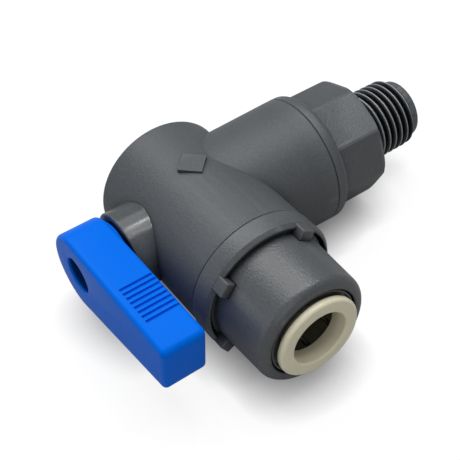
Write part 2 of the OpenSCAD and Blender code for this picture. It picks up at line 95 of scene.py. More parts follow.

# Finishes, painted shade and painted highlights that change by place: millimetres from an axis,
# or along it, between which they turn
BOSS_EDGE = (8.0, 8.25)
BOSS_FRONT = (-9.0, -8.0)
BOSS_ROUGH = 0.14
BOSS_GRAIN_CHANGE = -0.7
# Painted shade inside the collet's bore
BORE_DEPTH = (33.6, 34.2)
BORE_MOUTH = (34.2, 36.2)
BORE_EDGE = (5.35, 5.9)
BORE_SHADE_BROWN = (0.030, 0.024, 0.012, 1)
# Painted shade in the thread's valleys and painted highlight along its ridges, between these reaches
VALLEY_EDGE = (6.3, 6.94)
RIDGE_EDGE = (6.9, 7.02)
THREAD_PAINT_START = (36.7, 37.1)
THREAD_PAINT_END = (48.15, 48.4)
# Painted shade inside the lever's screw hole
HOLE_EDGE = (3.6, 3.75)
HOLE_DEPTH = (-24.9, -24.3)


# Shader helpers

def node_of(tree, kind, place=(0, 0), **settings):
    """A new node with its settings and its plain input values."""
    node = tree.nodes.new(kind)
    node.location = place
    for key, value in settings.items():
        if key.startswith("in_"):
            node.inputs[key[3:].replace("_", " ")].default_value = value
        else:
            setattr(node, key, value)
    return node


def new_group(name, inputs, outputs):
    """An empty shader group with float, colour or vector sockets."""
    group = bpy.data.node_groups.new(name, "ShaderNodeTree")
    kinds = {"float": "NodeSocketFloat", "color": "NodeSocketColor", "vector": "NodeSocketVector"}
    for label, kind, value in inputs:
        socket = group.interface.new_socket(label, in_out="INPUT", socket_type=kinds[kind])
        if value is not None:
            socket.default_value = value
    for label, kind in outputs:
        group.interface.new_socket(label, in_out="OUTPUT", socket_type=kinds[kind])
    return group


def moulded_group():
    """Grain, tone drift, specks and a painted highlight on the sharp edges of moulded plastic."""
    group = new_group(
        "MouldedPlastic",
        [("Color", "color", (0.5, 0.5, 0.5, 1)), ("Grain Scale", "float", 900.0),
         ("Grain Depth", "float", 0.5), ("Tone", "float", 0.08), ("Roughness", "float", 0.45),
         ("Roughness Drift", "float", 0.1), ("Speckle", "float", 0.05), ("Edge Highlight", "float", 0.1)],
        [("Color", "color"), ("Roughness", "float"), ("Height", "float")],
    )
    links = group.links
    source = node_of(group, "NodeGroupInput", (-1400, 0))
    sink = node_of(group, "NodeGroupOutput", (900, 0))
    coords = node_of(group, "ShaderNodeTexCoord", (-1400, 400))
    grain = node_of(group, "ShaderNodeTexNoise", (-1000, 300), in_Detail=3.0, in_Roughness=0.6)
    drift = node_of(group, "ShaderNodeTexNoise", (-1000, 0), in_Scale=DRIFT_SCALE,
                    in_Detail=2.0)
    speck = node_of(group, "ShaderNodeTexNoise", (-1000, -300), in_Scale=SPECK_SCALE,
                    in_Detail=1.0)
    links.new(coords.outputs["Object"], grain.inputs["Vector"])
    links.new(coords.outputs["Object"], drift.inputs["Vector"])
    links.new(coords.outputs["Object"], speck.inputs["Vector"])
    links.new(source.outputs["Grain Scale"], grain.inputs["Scale"])
    # Painted highlight: the colour is lifted on sharp edges, where the mesh's pointiness is high
    geometry = node_of(group, "ShaderNodeNewGeometry", (-1000, -600))
    edge_highlight = node_of(group, "ShaderNodeMapRange", (-700, -600))
    edge_highlight.inputs["From Min"].default_value = EDGE_HIGHLIGHT_POINTINESS[0]
    edge_highlight.inputs["From Max"].default_value = EDGE_HIGHLIGHT_POINTINESS[1]
    links.new(geometry.outputs["Pointiness"], edge_highlight.inputs["Value"])

    def centred(value, amount, base, place):
        """base + (value - 0.5) * 2 * amount"""
        less = node_of(group, "ShaderNodeMath", place, operation="SUBTRACT")
        less.inputs[1].default_value = 0.5
        links.new(value, less.inputs[0])
        times = node_of(group, "ShaderNodeMath", (place[0] + 180, place[1]), operation="MULTIPLY")
        links.new(less.outputs[0], times.inputs[0])
        links.new(amount, times.inputs[1])
        double = node_of(group, "ShaderNodeMath", (place[0] + 360, place[1]),
                         operation="MULTIPLY_ADD")
        links.new(times.outputs[0], double.inputs[0])
        double.inputs[1].default_value = 2.0
        if isinstance(base, float):
            double.inputs[2].default_value = base
        else:
            links.new(base, double.inputs[2])
        return double.outputs[0]

    tone = centred(drift.outputs["Fac"], source.outputs["Tone"], 1.0, (-600, 0))
    tone = centred(speck.outputs["Fac"], source.outputs["Speckle"], tone, (-200, -100))
    lift = node_of(group, "ShaderNodeMath", (300, -400), operation="MULTIPLY_ADD")
    links.new(edge_highlight.outputs["Result"], lift.inputs[0])
    links.new(source.outputs["Edge Highlight"], lift.inputs[1])
    links.new(tone, lift.inputs[2])
    shade = node_of(group, "ShaderNodeVectorMath", (500, 0), operation="SCALE")
    links.new(source.outputs["Color"], shade.inputs[0])
    links.new(lift.outputs[0], shade.inputs["Scale"])
    links.new(shade.outputs["Vector"], sink.inputs["Color"])
    rough = centred(drift.outputs["Fac"], source.outputs["Roughness Drift"],
                    source.outputs["Roughness"], (-600, -250))
    links.new(rough, sink.inputs["Roughness"])
    height = node_of(group, "ShaderNodeMath", (300, 300), operation="MULTIPLY")
    links.new(grain.outputs["Fac"], height.inputs[0])
    links.new(source.outputs["Grain Depth"], height.inputs[1])
    links.new(height.outputs[0], sink.inputs["Height"])
    return group


MOULDED = moulded_group()


def zone_group():
    """Distance from an axis and reach along it, in metres, for finishes, painted shade and painted highlights that
    change by place.
    """
    group = new_group("PlaceInValve", [("Origin", "vector", None), ("Across", "vector", None),
                                       ("Along", "vector", None)],
                      [("Distance", "float"), ("Reach", "float")])
    links = group.links
    source = node_of(group, "NodeGroupInput", (-800, 0))
    sink = node_of(group, "NodeGroupOutput", (400, 0))
    coords = node_of(group, "ShaderNodeTexCoord", (-800, 300))
    place = node_of(group, "ShaderNodeVectorMath", (-500, 200), operation="SUBTRACT")
    links.new(coords.outputs["Object"], place.inputs[0])
    links.new(source.outputs["Origin"], place.inputs[1])
    across = node_of(group, "ShaderNodeVectorMath", (-250, 200), operation="MULTIPLY")
    links.new(place.outputs[0], across.inputs[0])
    links.new(source.outputs["Across"], across.inputs[1])
    length = node_of(group, "ShaderNodeVectorMath", (0, 200), operation="LENGTH")
    links.new(across.outputs[0], length.inputs[0])
    along = node_of(group, "ShaderNodeVectorMath", (-250, -100), operation="DOT_PRODUCT")
    links.new(place.outputs[0], along.inputs[0])
    links.new(source.outputs["Along"], along.inputs[1])
    links.new(length.outputs["Value"], sink.inputs["Distance"])
    links.new(along.outputs["Value"], sink.inputs["Reach"])
    return group


ZONE = zone_group()


def zone_in(tree, along, spot):
    """The place group in one material, for an axis through the crossing."""
    zone = node_of(tree, "ShaderNodeGroup", spot)
    zone.node_tree = ZONE
    zone.inputs["Origin"].default_value = CROSSING
    zone.inputs["Across"].default_value = [0 if part else 1 for part in along]
    zone.inputs["Along"].default_value = along
    return zone


def ramp_in(tree, value, low, high, bottom, top, spot):
    """Smooth change of a number from one value to another, between two lengths in mm."""
    ramp = node_of(tree, "ShaderNodeMapRange", spot, interpolation_type="SMOOTHSTEP")
    ramp.inputs["From Min"].default_value = low * MM
    ramp.inputs["From Max"].default_value = high * MM
    ramp.inputs["To Min"].default_value = bottom
    ramp.inputs["To Max"].default_value = top
    tree.links.new(value, ramp.inputs["Value"])
    return ramp.outputs["Result"]


def product_in(tree, one, two, spot):
    """Product of two numbers."""
    times = node_of(tree, "ShaderNodeMath", spot, operation="MULTIPLY")
    tree.links.new(one, times.inputs[0])
    tree.links.new(two, times.inputs[1])
    return times.outputs[0]


def moulded_material(name, color, rough, grain_scale, grain_depth, bump, specular=0.5, tone=0.05,
                     drift=0.05, speckle=0.03, edge_highlight=0.08, subsurface=0.0, crevice_shade_reach=1.0):
    """Moulded plastic with its own grain, with painted shade darkening its crevices."""
    material = bpy.data.materials.new(name)
    material.use_nodes = True
    tree = material.node_tree
    shader = tree.nodes["Principled BSDF"]
    skin = node_of(tree, "ShaderNodeGroup", (-500, 0))
    skin.node_tree = MOULDED
    skin.inputs["Color"].default_value = (*color, 1)
    skin.inputs["Grain Scale"].default_value = grain_scale
    skin.inputs["Grain Depth"].default_value = grain_depth
    skin.inputs["Tone"].default_value = tone
    skin.inputs["Roughness"].default_value = rough
    skin.inputs["Roughness Drift"].default_value = drift
    skin.inputs["Speckle"].default_value = speckle
    skin.inputs["Edge Highlight"].default_value = edge_highlight
    ripple = node_of(tree, "ShaderNodeBump", (-250, -250))
    ripple.inputs["Strength"].default_value = bump
    ripple.inputs["Distance"].default_value = GRAIN_HEIGHT * MM
    # Painted shade: the colour is darkened by ambient occlusion in crevices, gaps and creases
    crevice_shade = node_of(tree, "ShaderNodeAmbientOcclusion", (-250, 150),
                   samples=CREVICE_SHADE_SAMPLES)
    crevice_shade.inputs["Distance"].default_value = crevice_shade_reach * MM
    tree.links.new(skin.outputs["Color"], crevice_shade.inputs["Color"])
    tree.links.new(crevice_shade.outputs["Color"], shader.inputs["Base Color"])
    tree.links.new(skin.outputs["Roughness"], shader.inputs["Roughness"])
    tree.links.new(skin.outputs["Height"], ripple.inputs["Height"])
    tree.links.new(ripple.outputs["Normal"], shader.inputs["Normal"])
    shader.inputs["Specular IOR Level"].default_value = specular
    if subsurface:
        shader.inputs["Subsurface Weight"].default_value = subsurface
        shader.inputs["Subsurface Radius"].default_value = SPREAD_COLOURS
        shader.inputs["Subsurface Scale"].default_value = SPREAD_REACH * MM
    return material


def metal_material(name, color, rough):
    """Metal with a fine, even grain."""
    material = moulded_material(name, color, rough, 1500.0, 0.5, 0.08, tone=0.04)
    shader = material.node_tree.nodes["Principled BSDF"]
    shader.inputs["Metallic"].default_value = 1.0
    return material


def polish_boss(material):
    """The stem boss is smoother and glossier than the grained body."""
    tree = material.node_tree
    shader = tree.nodes["Principled BSDF"]
    zone = zone_in(tree, (0, 1, 0), (-1100, -500))
    near = ramp_in(tree, zone.outputs["Distance"], *BOSS_EDGE, 1.0, 0.0, (-900, -450))
    front = ramp_in(tree, zone.outputs["Reach"], *BOSS_FRONT, 1.0, 0.0, (-900, -700))
    mask = product_in(tree, near, front, (-700, -500))
    rough = tree.nodes["Group"].outputs["Roughness"]
    blend = node_of(tree, "ShaderNodeMapRange", (-250, -500))
    blend.inputs["To Max"].default_value = BOSS_ROUGH
    tree.links.new(mask, blend.inputs["Value"])
    tree.links.new(rough, blend.inputs["To Min"])
    tree.links.new(blend.outputs["Result"], shader.inputs["Roughness"])
    plain = node_of(tree, "ShaderNodeMath", (-500, -350), operation="MULTIPLY_ADD")
    tree.links.new(mask, plain.inputs[0])
    plain.inputs[1].default_value = BOSS_GRAIN_CHANGE
    plain.inputs[2].default_value = 1.0
    height = product_in(tree, plain.outputs[0], tree.nodes["Group"].outputs["Height"],
                        (-400, -250))
    tree.links.new(height, tree.nodes["Bump"].inputs["Height"])


def paint_bore_shade(material):
    """Inside of the collet: painted shade, dark brown beyond its mouth and darker with depth."""
    tree = material.node_tree
    shader = tree.nodes["Principled BSDF"]
    zone = zone_in(tree, (1, 0, 0), (-1100, 500))
    depth = ramp_in(tree, zone.outputs["Reach"], *BORE_DEPTH, 0.05, 0.62, (-900, 500))
    mouth = ramp_in(tree, zone.outputs["Reach"], *BORE_MOUTH, 0.0, 0.38, (-900, 700))
    total = node_of(tree, "ShaderNodeMath", (-600, 600), operation="ADD")
    tree.links.new(depth, total.inputs[0])
    tree.links.new(mouth, total.inputs[1])
    wide = ramp_in(tree, zone.outputs["Distance"], *BORE_EDGE, 0.0, 1.0, (-600, 850))
    keep = node_of(tree, "ShaderNodeMath", (-400, 700), operation="MAXIMUM")
    tree.links.new(total.outputs[0], keep.inputs[0])
    tree.links.new(wide, keep.inputs[1])
    # Painted shade: the bore's colour is mixed towards dark brown
    bore_shade_mix = node_of(tree, "ShaderNodeMix", (0, 400), data_type="RGBA")
    bore_shade_mix.inputs[6].default_value = BORE_SHADE_BROWN
    tree.links.new(keep.outputs[0], bore_shade_mix.inputs[0])
    tree.links.new(tree.nodes["Ambient Occlusion"].outputs["Color"], bore_shade_mix.inputs[7])
    tree.links.new(bore_shade_mix.outputs[2], shader.inputs["Base Color"])


def paint_thread_shade_and_highlight(material):
    """The thread: painted shade between its ridges and a painted highlight along them."""
    tree = material.node_tree
    zone = zone_in(tree, (0, 1, 0), (-1500, 500))
    # Painted shade in the valleys, painted highlight up to three times as bright on the ridges
    valley = ramp_in(tree, zone.outputs["Distance"], *VALLEY_EDGE, 0.11, 1.0, (-1300, 500))
    ridge = ramp_in(tree, zone.outputs["Distance"], *RIDGE_EDGE, 0.0, 2.0, (-1300, 700))
    total = node_of(tree, "ShaderNodeMath", (-1000, 600), operation="ADD")
    tree.links.new(valley, total.inputs[0])
    tree.links.new(ridge, total.inputs[1])
    start = ramp_in(tree, zone.outputs["Reach"], *THREAD_PAINT_START, 0.0, 1.0, (-1300, 900))
    end = ramp_in(tree, zone.outputs["Reach"], *THREAD_PAINT_END, 1.0, 0.0, (-1300, 1100))
    mask = product_in(tree, start, end, (-1000, 1000))
    blend = node_of(tree, "ShaderNodeMapRange", (-800, 700))
    blend.inputs["To Min"].default_value = 1.0
    tree.links.new(mask, blend.inputs["Value"])
    tree.links.new(total.outputs[0], blend.inputs["To Max"])
    shade = node_of(tree, "ShaderNodeVectorMath", (-300, 300), operation="SCALE")
    tree.links.new(tree.nodes["Group"].outputs["Color"], shade.inputs[0])
    tree.links.new(blend.outputs["Result"], shade.inputs["Scale"])
    tree.links.new(shade.outputs["Vector"], tree.nodes["Ambient Occlusion"].inputs["Color"])


def paint_hole_shade(material):
    """Inside of the lever's screw hole: painted shade, deep navy blue."""
    tree = material.node_tree
    zone = zone_in(tree, (0, 1, 0), (-1500, 500))
    # Painted shade: the hole's colour is scaled down to a fifth
    inside = ramp_in(tree, zone.outputs["Distance"], *HOLE_EDGE, 0.2, 1.0, (-1300, 500))
    depth = ramp_in(tree, zone.outputs["Reach"], *HOLE_DEPTH, 1.0, 0.0, (-1300, 700))
    keep = node_of(tree, "ShaderNodeMath", (-1000, 600), operation="MAXIMUM")
    tree.links.new(inside, keep.inputs[0])
    tree.links.new(depth, keep.inputs[1])
    shade = node_of(tree, "ShaderNodeVectorMath", (-300, 300), operation="SCALE")
    tree.links.new(tree.nodes["Group"].outputs["Color"], shade.inputs[0])
    tree.links.new(keep.outputs[0], shade.inputs["Scale"])
    tree.links.new(shade.outputs["Vector"], tree.nodes["Ambient Occlusion"].inputs["Color"])


MATERIALS = {
    "grey_pvc": moulded_material("GreyPvc", (0.096, 0.104, 0.112), GREY_ROUGH, 2600.0, 1.0, 0.9,
                                 specular=GREY_SPECULAR, speckle=0.24, edge_highlight=0.45, crevice_shade_reach=2.2),
    "blue_handle": moulded_material("BlueHandle", (0.0, 0.165, 0.88), 0.34, 900.0, 0.3, 0.14,
                                    specular=0.10, crevice_shade_reach=0.25),
    "ivory_acetal": moulded_material("IvoryAcetal", (0.90, 0.85, 0.64), 0.30, 700.0, 0.3, 0.10,
                                     subsurface=0.3, crevice_shade_reach=1.5),
    "black_acetal": moulded_material("BlackAcetal", (0.105, 0.110, 0.115), 0.2, 900.0, 0.4, 0.10,
                                     crevice_shade_reach=0.25),
    "seal_rubber": moulded_material("SealRubber", (0.012, 0.012, 0.012), 0.6, 1200.0, 0.5, 0.2),
    "white_ptfe": moulded_material("WhitePtfe", (0.80, 0.80, 0.78), 0.5, 600.0, 0.4, 0.1),
    "stainless": metal_material("Stainless", (0.55, 0.56, 0.57), 0.25),
    "stem_brass": metal_material("StemBrass", (0.60, 0.45, 0.18), 0.28),
}
BLUE_SHADER = MATERIALS["blue_handle"].node_tree.nodes["Principled BSDF"]
BLUE_SHADER.inputs["Specular Tint"].default_value = BLUE_GLINT
# Painted shade inside the collet's bore
paint_bore_shade(MATERIALS["ivory_acetal"])


def grey_variant(name, rough=GREY_ROUGH, specular=GREY_SPECULAR):
    """A copy of the grey plastic with its own gloss."""
    material = MATERIALS["grey_pvc"].copy()
    material.name = name
    nodes = material.node_tree.nodes
    nodes["Group"].inputs["Roughness"].default_value = rough
    nodes["Principled BSDF"].inputs["Specular IOR Level"].default_value = specular
    return material


BODY_PVC = grey_variant("GreyPvcPolishedBoss", 0.43, 0.36)
polish_boss(BODY_PVC)
CAP_PVC = grey_variant("GreyPvcCap", 0.29, 0.58)
# Grey plastic of the thread, with painted shade and painted highlight
THREAD_PVC = grey_variant("GreyPvcThreadPaintedLight")
paint_thread_shade_and_highlight(THREAD_PVC)
# Painted shade inside the lever's screw hole
paint_hole_shade(MATERIALS["blue_handle"])
SLOTS = {part["node"]: part["material_slot"] for part in frame["record"]["subparts"]}


def dress(piece, slot):
    """Gives a piece the material of its slot."""
    piece.data.materials.clear()
    piece.data.materials.append(MATERIALS[slot])


for node_name, cad_node in frame["nodes"].items():
    dress(cad_node, SLOTS[node_name])
frame["nodes"]["valve_body"].data.materials[0] = BODY_PVC


# Modelling helpers: sizes are millimetres from the axes' crossing

DOUBLES = 0.002 * MM
SMOOTH_ANGLE = 32


def clear_selection():
    """Leaves edit mode and deselects everything."""
    if bpy.context.object and bpy.context.object.mode != "OBJECT":
        bpy.ops.object.mode_set(mode="OBJECT")
    bpy.ops.object.select_all(action="DESELECT")


def choose(piece):
    """Makes one piece the only selected and active object."""
    clear_selection()
    piece.select_set(True)
    bpy.context.view_layer.objects.active = piece


def at(x, y, z):
    """A place in the valve, from millimetres to the frame's metres."""
    return CROSSING + Vector((x, y, z)) * MM


def drawn(name, points):
    """An open line of edges through the points, drawn by extruding one vertex."""
    clear_selection()
    places = [at(*point) for point in points]
    bpy.ops.mesh.primitive_plane_add(size=MM, location=places[0])
    piece = bpy.context.object
    piece.name = name
    bpy.ops.object.mode_set(mode="EDIT")
    bpy.ops.mesh.select_mode(type="VERT")
    bpy.ops.mesh.select_all(action="SELECT")
    bpy.ops.mesh.merge(type="CENTER")
    for before, after in zip(places, places[1:]):
        bpy.ops.mesh.extrude_region_move(TRANSFORM_OT_translate={"value": after - before})
    bpy.ops.mesh.select_all(action="SELECT")
    return piece


def closed_shell():
    """Merges doubles and turns all faces outwards, in edit mode, then leaves it."""
    bpy.ops.mesh.select_all(action="SELECT")
    bpy.ops.mesh.remove_doubles(threshold=DOUBLES)
    bpy.ops.mesh.normals_make_consistent(inside=False)
    bpy.ops.object.mode_set(mode="OBJECT")
    bpy.ops.object.transform_apply(location=True, rotation=True, scale=True)


def turned(name, outline, along, steps=128):
    """A turned solid: an outline of (radius, reach) pairs spun about an axis by the crossing."""
    along = Vector(along)
    side = Vector((0, 0, 1))
    points = [side * radius + along * reach for radius, reach in outline]
    piece = drawn(name, points)
    bpy.ops.mesh.spin(steps=steps, angle=2 * math.pi, center=CROSSING, axis=along)
    closed_shell()
    return piece


def arc(radius, reach, size, start, end, parts=6):
    """Points of an arc in an outline, angles from the radius direction towards the reach."""
    turns = [math.radians(start + (end - start) * i / parts) for i in range(parts + 1)]
    return [(radius + size * math.cos(t), reach + size * math.sin(t)) for t in turns]


def applied(piece, kind, **settings):
    """Adds a modifier with its settings and applies it."""
    choose(piece)
    bpy.ops.object.modifier_add(type=kind)
    modifier = piece.modifiers[-1]
    for key, value in settings.items():
        setattr(modifier, key, value)
    bpy.ops.object.modifier_apply(modifier=modifier.name)


def combined(piece, tool, operation):
    """Joins, cuts or intersects a piece with a tool, which is used up."""
    applied(piece, "BOOLEAN", object=tool, operation=operation, solver="EXACT")
    bpy.data.objects.remove(tool, do_unlink=True)


def edited(operator, **settings):
    """Runs one transform on all of the active piece's mesh."""
    bpy.ops.object.mode_set(mode="EDIT")
    bpy.ops.mesh.select_all(action="SELECT")
    operator(**settings)
    bpy.ops.object.mode_set(mode="OBJECT")


def finished(piece, body, node):
    """Shading, material, body and the node that the piece stands for."""
    choose(piece)
    bpy.ops.object.shade_smooth_by_angle(angle=math.radians(SMOOTH_ANGLE))
    dress(piece, SLOTS[node])
    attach(piece, body)
    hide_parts(node)
    clear_selection()


# Inlet adaptor: flange, eight-sided wrench section, thread and nose. PITCH is longer than the
# standard's 1.41, and CREST_TAPER is the share of the standard TAPER that the drawn crests follow

PITCH = 1.51
SEAM_Y = 23.8
FLANGE_R = 12.9
FLATS_HALF = 10.95
CORNER_R = 11.75
FLATS_END = 36.5
THREAD_START = 37.4
THREAD_END = 47.4
NOSE_END = 50.0
WRENCH_TURN = -math.radians(22.5 - 17)
TIP_R = 6.65
NOSE_R = 5.95
TAPER = 0.03125
BORE_R = 3.9
SPIGOT_R = 8.05
GROOVE_R = 6.65
THREAD_BIG_R = TIP_R + TAPER * (THREAD_END - THREAD_START)
CREST_OUT = 0.22
ROOT_IN = 0.95
CREST_TAPER = 0.4
THREAD_LEAD = 1.35
THREAD_TURNS = 10
THREAD_STEPS = 72
CUT_NEAR = 0.0001 * MM


def thread():
    """Right-hand thread with part of the standard taper, cut square at both ends."""
    crest, root = THREAD_BIG_R + CREST_OUT, THREAD_BIG_R - ROOT_IN
    shape = [(root, 0), (root + 0.03, 0.22), (root + 0.3, 0.36), (crest - 0.14, 0.52),
             (crest - 0.03, 0.60), (crest, 0.70), (crest - 0.03, 0.81), (crest - 0.14, 0.89),
             (root + 0.3, 1.05), (root + 0.03, 1.19), (root, PITCH)]
    first = THREAD_START - THREAD_LEAD - PITCH
    piece = drawn("thread", [(0, first + reach, radius) for radius, reach in shape])
    bpy.ops.object.mode_set(mode="OBJECT")
    bpy.context.scene.cursor.location = at(0, first, 0)
    bpy.ops.object.origin_set(type="ORIGIN_CURSOR")
    applied(piece, "SCREW", axis="Y", angle=2 * math.pi, screw_offset=PITCH * MM,
            iterations=THREAD_TURNS, steps=THREAD_STEPS, render_steps=THREAD_STEPS,
            use_merge_vertices=True, merge_threshold=DOUBLES)
    reach = (THREAD_TURNS + 1) * PITCH
    applied(piece, "SIMPLE_DEFORM", deform_method="TAPER", deform_axis="Y",
            factor=-CREST_TAPER * TAPER * reach / THREAD_BIG_R)
    bpy.ops.object.mode_set(mode="EDIT")
    for place, normal in ((THREAD_START - 0.2, -1), (THREAD_END + 1.05, 1)):
        bpy.ops.mesh.select_all(action="SELECT")
        bpy.ops.mesh.bisect(plane_co=at(0, place, 0), plane_no=(0, normal, 0),
                            threshold=CUT_NEAR, use_fill=True, clear_outer=True)
    closed_shell()
    return piece


def inlet_adaptor():
    """One moulding from the seam to the nose."""
    big = THREAD_BIG_R
    piece = turned("inlet_adaptor_moulding", [
        (0, 6), (SPIGOT_R, 6), (SPIGOT_R, SEAM_Y - 4.5), (GROOVE_R, SEAM_Y - 4.5),
        (GROOVE_R, SEAM_Y - 2.5), (SPIGOT_R, SEAM_Y - 2.5), (SPIGOT_R, SEAM_Y),
        (FLANGE_R - 0.2, SEAM_Y),
        (FLANGE_R, SEAM_Y + 0.2), *arc(FLANGE_R - 1.3, SEAM_Y + 1.35, 1.3, 0, 80, 8),
        (10.2, SEAM_Y + 2.9), (10.2, FLATS_END - 2), (big - 1.1, FLATS_END - 2),
        (big - 1.1, THREAD_START), (NOSE_R - 0.3, THREAD_END + 0.85), (NOSE_R, THREAD_END + 1.05),
        *arc(NOSE_R - 0.45, NOSE_END - 0.45, 0.45, 0, 90), (0, NOSE_END)
    ], (0, 1, 0))
    clear_selection()
    bpy.ops.mesh.primitive_cylinder_add(
        vertices=8, radius=FLATS_HALF * MM / math.cos(math.pi / 8),
        depth=(FLATS_END - SEAM_Y - 1) * MM,
        location=at(0, (FLATS_END + SEAM_Y + 1) / 2, 0), rotation=(math.pi / 2, 0, 0))
    wrench = bpy.context.object
    wrench.name = "wrench_section"
    bpy.ops.object.transform_apply(location=True, rotation=True, scale=True)
    edited(bpy.ops.transform.rotate, value=WRENCH_TURN, orient_axis="Y", center_override=CROSSING)
    envelope = turned("wrench_envelope", [
        (0, SEAM_Y), (CORNER_R, SEAM_Y), *arc(CORNER_R - 0.8, FLATS_END - 0.8, 0.8, 0, 90, 8),
        (0, FLATS_END)
    ], (0, 1, 0), 160)
    combined(wrench, envelope, "INTERSECT")
    applied(wrench, "BEVEL", width=0.14 * MM, segments=3, limit_method="ANGLE",
            angle_limit=math.radians(17))
    combined(piece, wrench, "UNION")
    ridge = thread()
    fade = turned("thread_envelope", [
        (0, THREAD_START - 1), (big - 0.9, THREAD_START - 1), (big - 0.9, THREAD_START - 0.3),
        (big + 0.4, THREAD_START + 0.9), (big + 0.4, THREAD_END - 0.1),
        (NOSE_R + 0.1, THREAD_END + 0.95), (NOSE_R - 0.5, THREAD_END + 1.0), (0, THREAD_END + 1.0)
    ], (0, 1, 0))
    combined(ridge, fade, "INTERSECT")
    combined(piece, ridge, "UNION")
    bore = turned("inlet_bore", [
        (0, 5), (5.75, 5), (5.75, 9.5), (BORE_R, 9.5), (BORE_R, NOSE_END - 0.85),
        (BORE_R + 0.85, NOSE_END), (BORE_R + 0.85, NOSE_END + 1), (0, NOSE_END + 1)
    ], (0, 1, 0))
    combined(piece, bore, "DIFFERENCE")
    finished(piece, "valve", "inlet_adaptor")
    piece.data.materials[0] = THREAD_PVC


# Outlet end: ring with its lugs, cap, cartridge and collet, reaches measured along the outlet

OUTLET = (1, 0, 0)
SEAM_X = 18.8
RING_R = 13.2
RING_FRONT = 23.2
CAP_BACK = 22.0
CAP_FRONT = 35.4
CAP_R = 11.3
CAP_FRONT_R = 10.9
MOUTH_R = 8.7
RIM_R = 8.0
RIM_BACK = 35.55
COLLET_FRONT = 37.05
LUG_ANGLES = [34 + 68.5 * i for i in range(5)]
LUG_BACK = 21.3
LUG_FRONT = 25.0
LUG_W = 2.8
LUG_BITE = 0.35
LUG_ROUND = 0.32
FINGERS = 6
SLIT_SIZE = (5.1, 1, 3)


def lug(name, angle, grow):
    """One locking block at an angle from the top towards the inlet."""
    clear_selection()
    inner, outer = CAP_R - LUG_BITE - grow, RING_R - 0.1 + grow
    back, front = LUG_BACK - grow, LUG_FRONT + grow
    bpy.ops.mesh.primitive_cube_add(size=MM,
                                    location=at((back + front) / 2, 0, (inner + outer) / 2))
    block = bpy.context.object
    block.name = name
    edited(bpy.ops.transform.resize, value=(front - back, LUG_W + 2 * grow, outer - inner),
           center_override=block.location)
    if not grow:
        applied(block, "BEVEL", width=LUG_ROUND * MM, segments=4, limit_method="ANGLE")
    edited(bpy.ops.transform.rotate, value=math.radians(angle), orient_axis="X",
           center_override=CROSSING)
    bpy.ops.object.transform_apply(location=True, rotation=True, scale=True)
    return block


def outlet_adaptor():
    """Spigot, ring with a rounded edge, counterbore, locking blocks and tube socket."""
    piece = turned("outlet_adaptor_moulding", [
        (3.6, 9.5), (SPIGOT_R, 9.5), (SPIGOT_R, 14.3), (GROOVE_R, 14.3), (GROOVE_R, 16.3),
        (SPIGOT_R, 16.3), (SPIGOT_R, SEAM_X), (RING_R - 0.2, SEAM_X), (RING_R, SEAM_X + 0.2),
        *arc(RING_R - 0.15, 22.35, 0.15, 0, 35, 3), *arc(12.49, 22.86, 0.32, 35, 90, 5),
        *arc(12.4, 23.08, 0.1, 90, 180, 3), (12.3, LUG_BACK), (9.6, LUG_BACK), (9.6, 32.2),
        (8.35, 32.2), (8.35, 27.1), (6.5, 27.1), (6.5, 24.15), (4.85, 24.15), (4.85, 15),
        (3.6, 15), (3.6, 9.5)
    ], OUTLET, 160)
    for i, angle in enumerate(LUG_ANGLES):
        combined(piece, lug("lug_%d" % i, angle, 0), "UNION")
    finished(piece, "valve", "outlet_adaptor")


def outlet_cap():
    """Cap with its rear flange, rounded front edge and the places for the blocks."""
    piece = turned("outlet_cap_moulding", [
        (9.65, CAP_BACK), (CAP_R + 0.5, CAP_BACK), (CAP_R + 0.5, CAP_BACK + 0.5),
        (CAP_R + 0.4, CAP_BACK + 0.6), (CAP_R - 0.02, CAP_BACK + 0.6),
        *arc(CAP_FRONT_R - 1.6, CAP_FRONT - 1.6, 1.6, 2, 88, 10),
        *arc(MOUTH_R + 0.3, CAP_FRONT - 0.3, 0.3, 90, 180, 5), (MOUTH_R, 33.2), (9.65, 33.2),
        (9.65, CAP_BACK)
    ], OUTLET, 160)
    for i, angle in enumerate(LUG_ANGLES):
        combined(piece, lug("lug_room_%d" % i, angle, 0.1), "DIFFERENCE")
    finished(piece, "valve", "outlet_cap")
    piece.data.materials[0] = CAP_PVC


def cartridge():
    """Dark ring in the cap's mouth, with the cone that closes the collet's fingers."""
    piece = turned("cartridge_ring", [
        (6.45, 34.35), (8.12, 34.35), *arc(8.24, 35.03, 0.12, 180, 90, 4),
        *arc(8.32, 35.01, 0.14, 90, 0, 4), (8.46, 33.15), (9.55, 33.15), (9.55, 32.25),
        (8.3, 32.25), (8.3, 27.15), (7.7, 27.15), (7.7, 30.75), (6.45, 32.5), (6.45, 34.35)
    ], OUTLET)
    finished(piece, "valve", "collet_cartridge")


